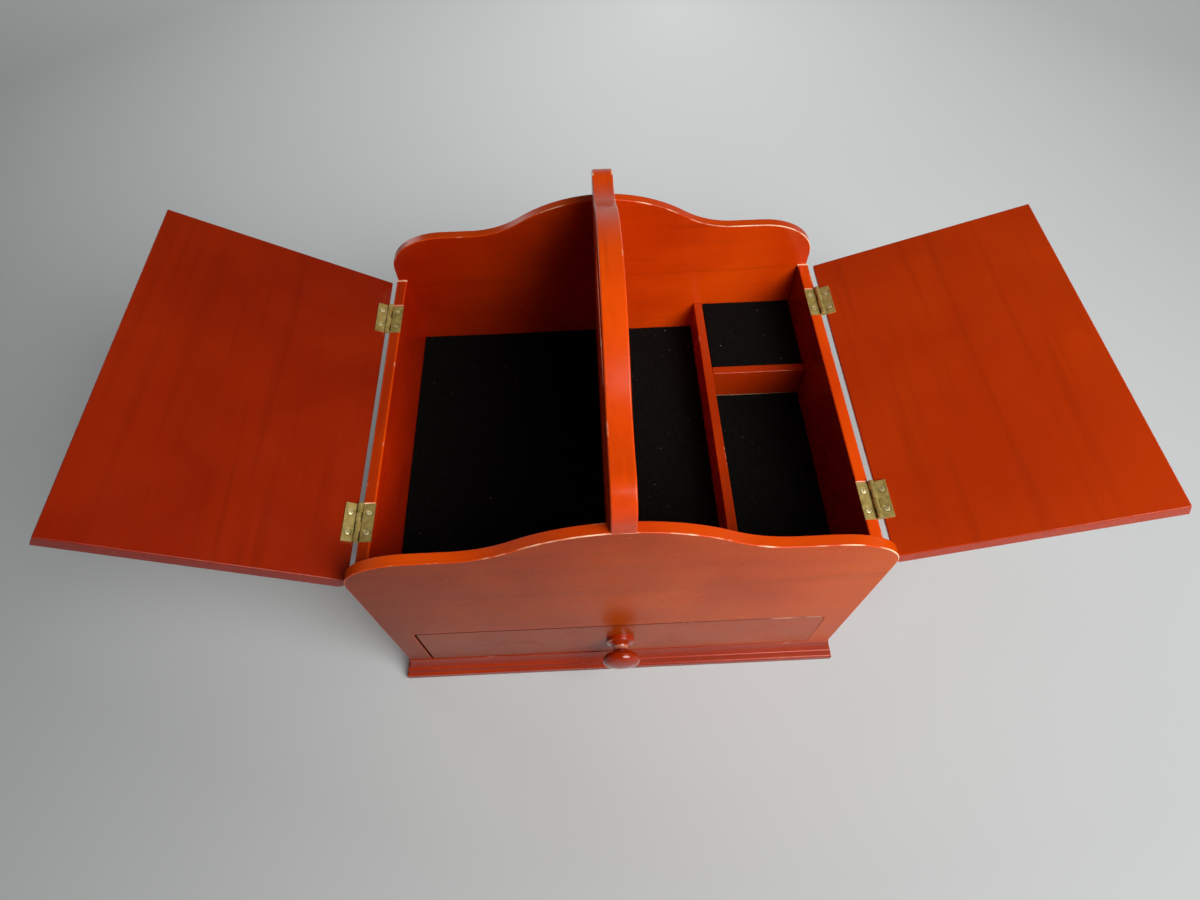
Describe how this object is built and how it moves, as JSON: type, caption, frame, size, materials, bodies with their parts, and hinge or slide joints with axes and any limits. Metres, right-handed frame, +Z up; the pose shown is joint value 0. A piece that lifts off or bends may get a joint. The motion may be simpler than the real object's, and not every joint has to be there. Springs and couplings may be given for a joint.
{
  "type": "jewelry box",
  "caption": "Lacquered wooden jewelry box with a tall carrying board, wing lids on brass butt hinges, felt-lined compartments and a front drawer with a turned knob.",
  "frame": {"origin": "centre of the flat underside of the base", "axes": "+X to the right seen from the drawer's side, +Y to the back, +Z up"},
  "size_m": [0.5423, 0.2545, 0.265],
  "materials": {
    "lacquered_wood": "orange-red gloss lacquer, worn pale along the edges",
    "plain_wood": "unfinished light wood",
    "aged_brass": "dull aged brass",
    "black_felt": "black felt",
    "plated_steel": "plated steel"
  },
  "bodies": {
    "case": {"back_base_moulding": "lacquered_wood", "back_panel": "lacquered_wood", "base_board": "plain_wood", "cross_divider": "lacquered_wood", "floor_panel": "plain_wood", "front_base_moulding": "lacquered_wood", "front_panel": "lacquered_wood", "front_right_floor_felt": "black_felt", "handle_board": "lacquered_wood", "left_back_hinge_pin": "aged_brass", "left_back_wall_leaf": "aged_brass", "left_base_moulding": "lacquered_wood", "left_drawer_guide": "plain_wood", "left_drawer_kicker": "plain_wood", "left_drawer_runner": "plain_wood", "left_floor_felt": "black_felt", "left_front_hinge_pin": "aged_brass", "left_front_wall_leaf": "aged_brass", "left_side_wall": "lacquered_wood", "long_divider": "lacquered_wood", "narrow_floor_felt": "black_felt", "raised_pad": "black_felt", "right_back_hinge_pin": "aged_brass", "right_back_wall_leaf": "aged_brass", "right_base_moulding": "lacquered_wood", "right_drawer_guide": "plain_wood", "right_drawer_kicker": "plain_wood", "right_drawer_runner": "plain_wood", "right_front_hinge_pin": "aged_brass", "right_front_wall_leaf": "aged_brass", "right_side_wall": "lacquered_wood", "wall_hinge_screws": "aged_brass"},
    "left_lid": {"left_back_lid_leaf": "aged_brass", "left_front_lid_leaf": "aged_brass", "left_lid": "lacquered_wood", "left_lid_screws": "aged_brass"},
    "right_lid": {"right_back_lid_leaf": "aged_brass", "right_front_lid_leaf": "aged_brass", "right_lid": "lacquered_wood", "right_lid_screws": "aged_brass"},
    "drawer": {"drawer_back": "plain_wood", "drawer_bottom": "plain_wood", "drawer_felt": "black_felt", "drawer_front": "lacquered_wood", "drawer_left_side": "plain_wood", "drawer_right_side": "plain_wood", "knob": "lacquered_wood", "knob_screw": "plated_steel"}
  },
  "joints": [
    {"name": "left_lid_hinge", "type": "hinge", "parent": "case", "child": "left_lid", "pos_m": [-0.142, 0, 0.1497], "axis": [0, 1, 0], "range_deg": [0, 140]},
    {"name": "right_lid_hinge", "type": "hinge", "parent": "case", "child": "right_lid", "pos_m": [0.142, 0, 0.1497], "axis": [0, -1, 0], "range_deg": [0, 150]},
    {"name": "drawer_slide", "type": "slide", "parent": "case", "child": "drawer", "axis": [0, -1, 0], "range_m": [0, 0.15]}
  ]
}
